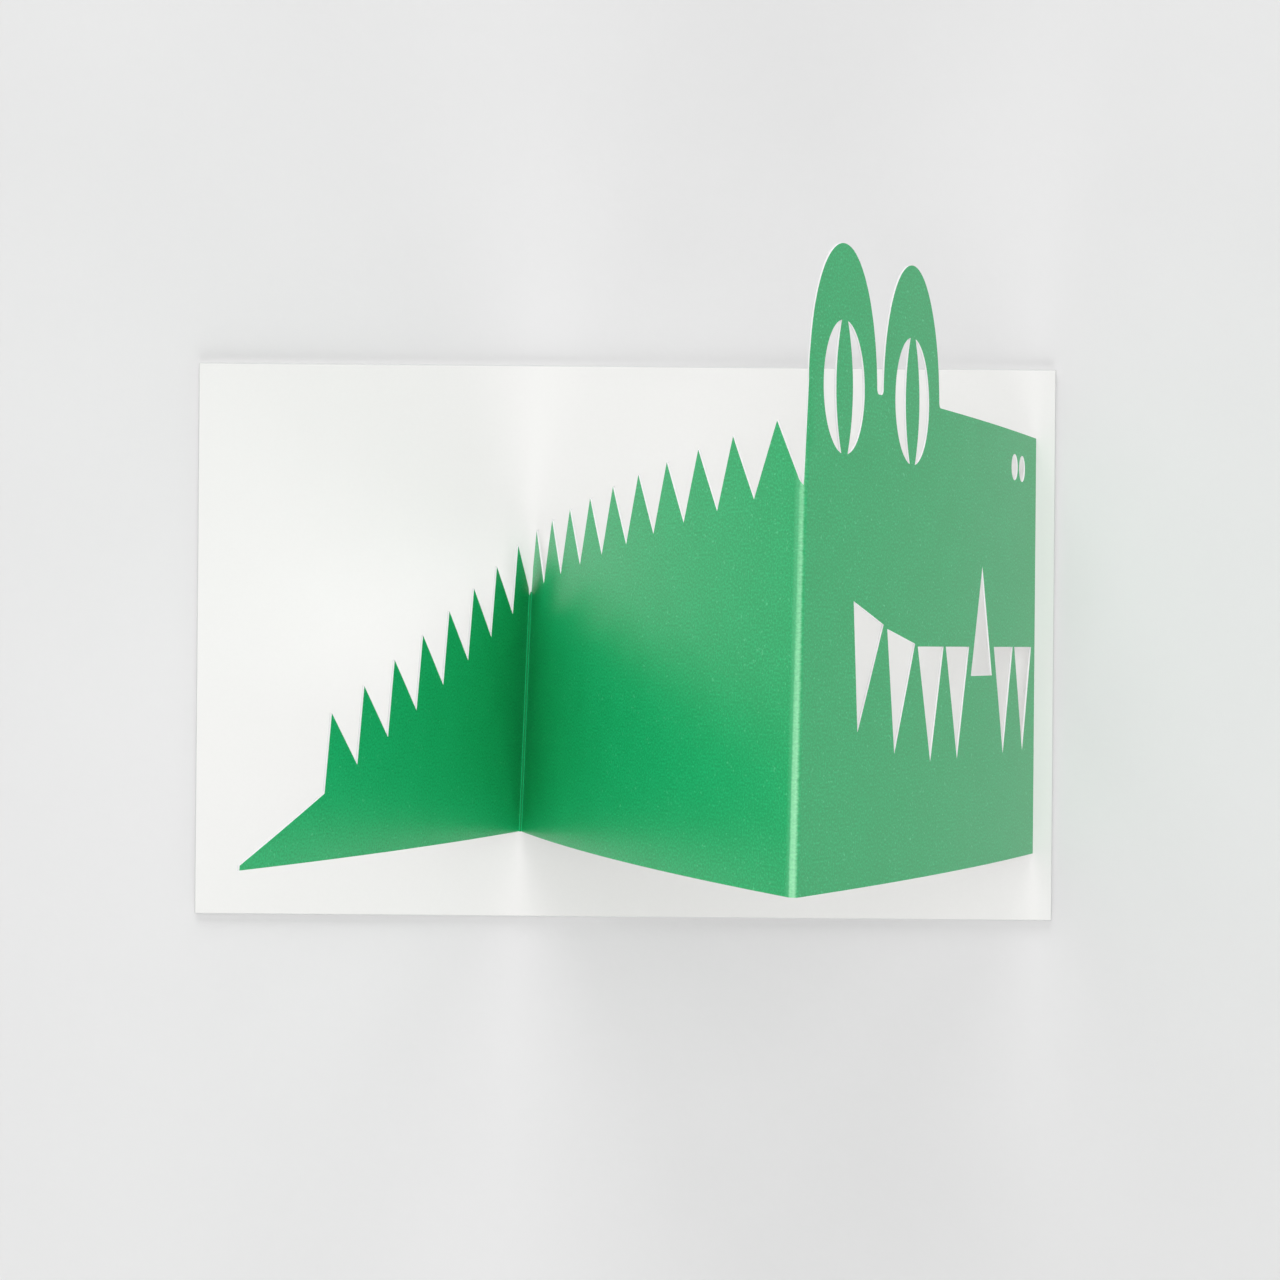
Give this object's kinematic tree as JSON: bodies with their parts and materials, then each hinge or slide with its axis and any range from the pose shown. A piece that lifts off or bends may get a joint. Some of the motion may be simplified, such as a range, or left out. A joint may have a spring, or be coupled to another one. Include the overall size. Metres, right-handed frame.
{
  "type": "greeting card",
  "caption": "Folded card crocodile with cut-out eyes, nostrils and teeth, standing in a zigzag on a flat white backing card.",
  "frame": {"origin": "middle of the backing card's underside", "axes": "+X across the backing card towards the crocodile's nose, +Y up the card towards its eyes, +Z out of the card's face towards the reader"},
  "size_m": [0.178, 0.1256, 0.115],
  "materials": {
    "white_board": "matt",
    "green_card": "printed, matt"
  },
  "bodies": {
    "root": {"backing_card": "white_board", "crocodile": "green_card"}
  },
  "joints": []
}
